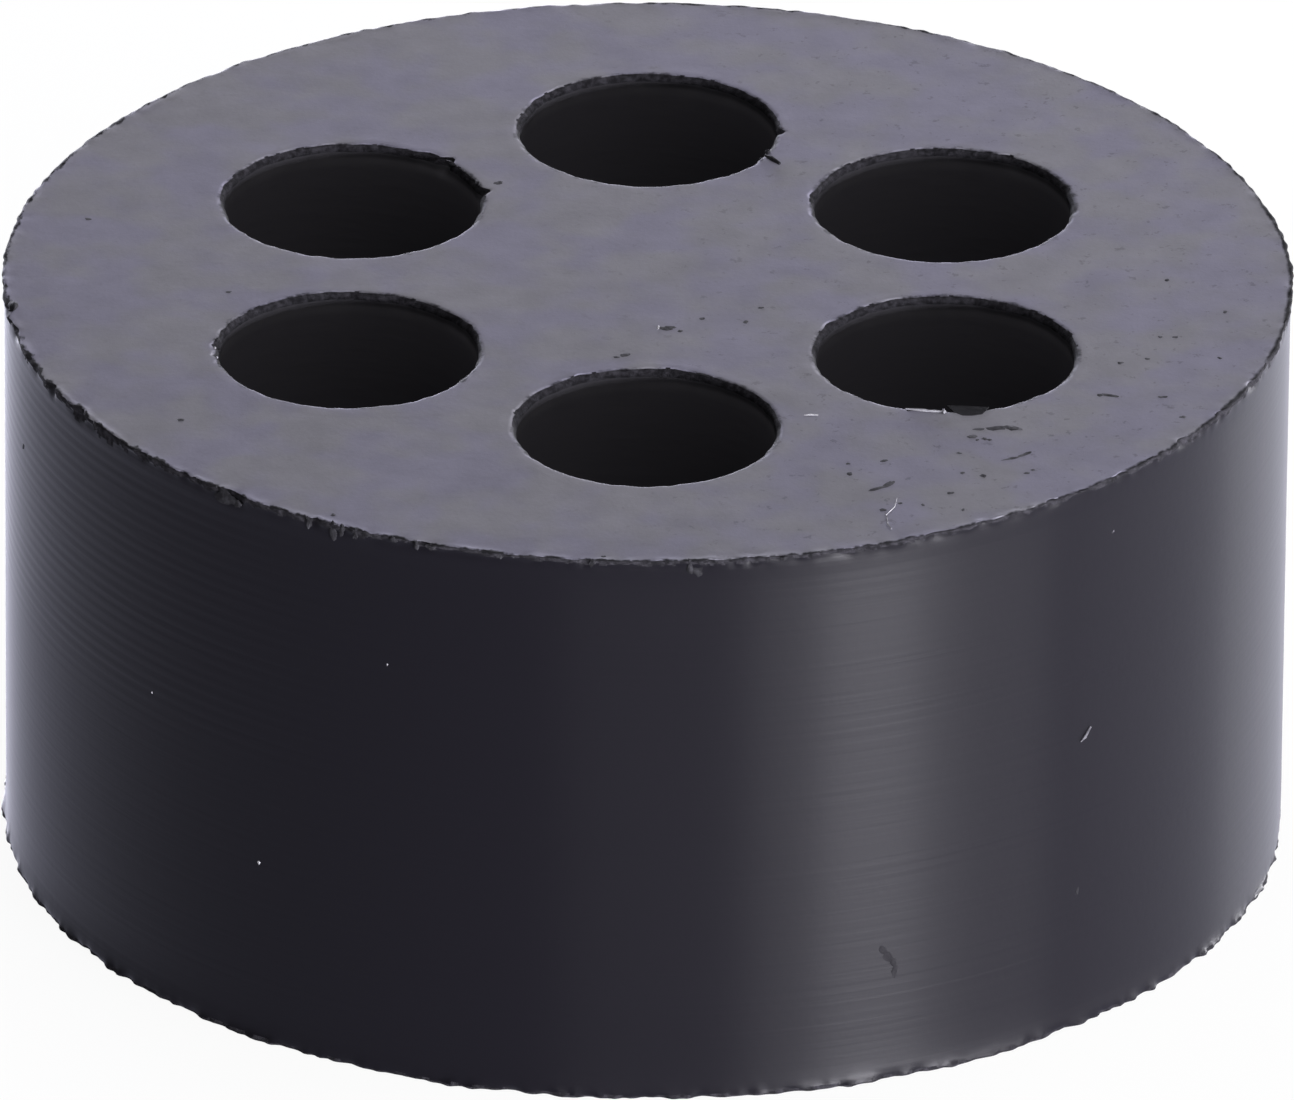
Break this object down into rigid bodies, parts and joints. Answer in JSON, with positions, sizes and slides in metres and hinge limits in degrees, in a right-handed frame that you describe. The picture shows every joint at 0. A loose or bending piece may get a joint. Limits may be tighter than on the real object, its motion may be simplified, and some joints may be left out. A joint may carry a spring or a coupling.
{
  "type": "multi-hole sealing insert",
  "caption": "Short black rubber cylinder with a ring of straight round cable holes, squeezed in a cable gland to seal round several thin cables.",
  "frame": {"origin": "centre of the lower sawn face", "axes": "+Z along the insert's axis, up from the face that it rests on; +Y towards the cable hole at the back of the ring"},
  "size_m": [0.03, 0.03, 0.0138],
  "materials": {
    "black_rubber": "satin turned side, grey matt sawn end faces, near-black bores"
  },
  "bodies": {
    "root": {"sealing_insert": "black_rubber"}
  },
  "joints": []
}
